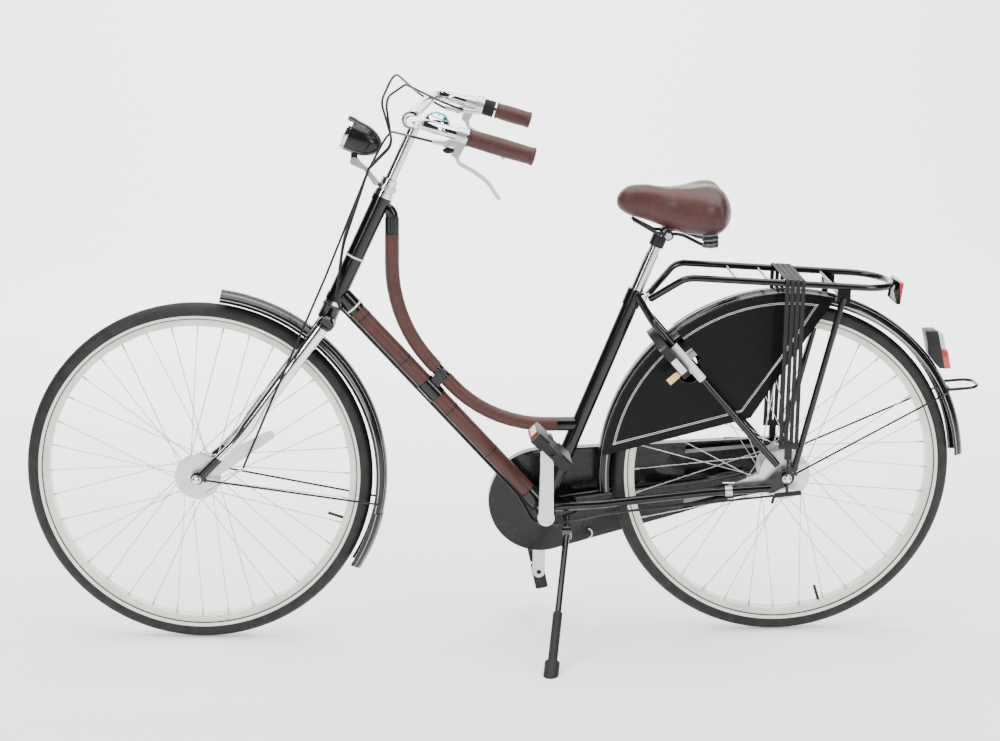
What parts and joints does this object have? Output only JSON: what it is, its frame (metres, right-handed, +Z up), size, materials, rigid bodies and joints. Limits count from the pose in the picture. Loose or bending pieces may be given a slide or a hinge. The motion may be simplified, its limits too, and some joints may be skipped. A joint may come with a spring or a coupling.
{
  "type": "bicycle on stand",
  "caption": "City bicycle with a low curved frame, mudguards, chaincase, rear rack and sprung saddle, leaning on its fold-down side stand",
  "frame": {"origin": "on the floor, half way between the two tyre contact points", "axes": "X to the rear along the bicycle, Y to the right-hand (chain) side, Z up; the bicycle leans 4 degrees onto its stand"},
  "size_m": [1.9044, 0.6163, 1.1442],
  "materials": {
    "black_enamel": "gloss black enamel",
    "case_black": "gloss black moulding",
    "brown_wrap": "brown stitched cover",
    "chrome": "polished chrome",
    "bright_steel": "bright steel",
    "alloy": "satin alloy",
    "cream_rim": "cream enamel",
    "tyre": "black tread with a pale reflective stripe",
    "strap": "black elastic rubber",
    "cable": "black cable cover",
    "black_plastic": "satin black plastic",
    "red_lens": "red reflector"
  },
  "bodies": {
    "frame": {"head_tube": "black_enamel", "top_tube": "black_enamel", "down_tube": "black_enamel", "seat_tube": "black_enamel", "chain_stays": "black_enamel", "seat_stays": "black_enamel", "tube_wraps": "brown_wrap", "headset_cups": "chrome", "rear_mudguard": "black_enamel", "rear_mudguard_stays": "black_enamel", "rack": "black_enamel", "rack_straps": "strap", "rack_reflector": "red_lens", "rear_light": "black_plastic", "coat_guards": "black_enamel", "chaincase": "case_black", "chain": "bright_steel", "kickstand_bracket": "black_enamel", "lock_body": "black_plastic", "rear_axle": "bright_steel", "rear_brake": "alloy", "gear_adjuster": "black_plastic", "frame_cables": "cable", "crossing_cables": "cable"},
    "steering": {"fork": "chrome", "stem": "chrome", "handlebar": "chrome", "grips": "brown_wrap", "brake_perches": "bright_steel", "bell": "chrome", "headlight_bracket": "bright_steel", "front_mudguard": "black_enamel", "front_mudguard_stays": "black_enamel", "front_brake": "alloy", "front_axle": "bright_steel", "front_brake_cable": "cable"},
    "front_wheel": {"front_tyre": "tyre", "front_rim": "cream_rim", "front_spokes": "bright_steel", "front_hub_shell": "alloy"},
    "rear_wheel": {"rear_tyre": "tyre", "rear_rim": "cream_rim", "rear_spokes": "bright_steel", "rear_hub_shell": "alloy"},
    "sprocket": {"rear_sprocket": "bright_steel"},
    "crank": {"crankset": "alloy", "chainring": "bright_steel"},
    "left_pedal": {"left_pedal": "black_plastic"},
    "right_pedal": {"right_pedal": "black_plastic"},
    "stand": {"kickstand_leg": "black_enamel", "kickstand_foot": "strap"},
    "left_lever": {"left_brake_lever": "bright_steel"},
    "right_lever": {"right_brake_lever": "bright_steel"},
    "shifter": {"shifter_ring": "black_plastic"},
    "bell_lever": {"bell_thumb": "chrome"},
    "lamp": {"headlight": "black_plastic"},
    "saddle_post": {"seatpost": "chrome", "saddle_frame": "black_plastic", "saddle": "brown_wrap"},
    "lock_bow": {"lock_bow": "bright_steel"}
  },
  "joints": [
    {"name": "steering", "type": "hinge", "parent": "frame", "child": "steering", "pos_m": [-0.31766, -0.04776, 0.70147], "axis": [0.4147, -0.0635, 0.9077], "range_deg": [-55.65, 64.35], "deforming": ["crossing_cables"]},
    {"name": "front_wheel_spin", "type": "hinge", "parent": "steering", "child": "front_wheel", "pos_m": [-0.59023, -0.01533, 0.34761], "axis": [-0.069, -0.9969, -0.0382], "continuous": true},
    {"name": "rear_wheel_spin", "type": "hinge", "parent": "frame", "child": "rear_wheel", "pos_m": [0.5905, -0.02298, 0.3472], "axis": [0, -0.9976, -0.0698], "continuous": true},
    {"name": "crank_turn", "type": "hinge", "parent": "frame", "child": "crank", "pos_m": [0.1041, -0.0175, 0.26879], "axis": [0, -0.9976, -0.0698], "range_deg": [-125, 155]},
    {"name": "sprocket_spin", "type": "hinge", "parent": "frame", "child": "sprocket", "pos_m": [0.5905, -0.02298, 0.3472], "axis": [0, -0.9976, -0.0698], "range_deg": [-250, 310]},
    {"name": "left_pedal_spin", "type": "hinge", "parent": "crank", "child": "left_pedal", "pos_m": [0.1041, -0.1552, 0.42456], "axis": [0, 0.9976, 0.0698], "continuous": true},
    {"name": "right_pedal_spin", "type": "hinge", "parent": "crank", "child": "right_pedal", "pos_m": [0.1041, 0.1202, 0.11302], "axis": [0, 0.9976, 0.0698], "continuous": true},
    {"name": "kickstand_fold", "type": "hinge", "parent": "frame", "child": "stand", "pos_m": [0.1501, -0.05441, 0.2231], "axis": [-0.1219, -0.6631, 0.7385], "range_deg": [0, 102.3]},
    {"name": "left_brake_pull", "type": "hinge", "parent": "steering", "child": "left_lever", "pos_m": [-0.09413, -0.3645, 1.02447], "axis": [0.069, 0.9969, 0.0382], "range_deg": [-18, 0], "stiffness_Nm_per_rad": 0.6, "springref_deg": 8.59},
    {"name": "right_brake_pull", "type": "hinge", "parent": "steering", "child": "right_lever", "pos_m": [-0.04478, 0.20914, 1.0437], "axis": [0.069, 0.9969, 0.0382], "range_deg": [-18, 0], "stiffness_Nm_per_rad": 0.6, "springref_deg": 8.59},
    {"name": "gear_twist", "type": "hinge", "parent": "steering", "child": "shifter", "pos_m": [0.00434, 0.20502, 1.06268], "axis": [0.9595, -0.0559, -0.2761], "range_deg": [-30, 30]},
    {"name": "bell_thumb_push", "type": "hinge", "parent": "steering", "child": "bell_lever", "pos_m": [-0.11139, -0.17541, 1.04251], "axis": [0.3491, -0.06, 0.9352], "range_deg": [0, 35], "stiffness_Nm_per_rad": 0.05, "springref_deg": -5.73},
    {"name": "headlight_tilt", "type": "hinge", "parent": "steering", "child": "lamp", "pos_m": [-0.27808, -0.06114, 0.9794], "axis": [0.069, 0.9969, 0.0382], "range_deg": [-15, 15]},
    {"name": "saddle_height", "type": "slide", "parent": "frame", "child": "saddle_post", "axis": [0.3697, -0.0648, 0.9269], "range_m": [-0.03, 0.045]},
    {"name": "lock_close", "type": "hinge", "parent": "frame", "child": "lock_bow", "pos_m": [0.35737, -0.03989, 0.58898], "axis": [-0.749, 0.0462, -0.661], "range_deg": [-120, 0]}
  ],
  "couplings": [
    {"joint": "sprocket_spin", "follows": "crank_turn", "ratio": 2}
  ]
}
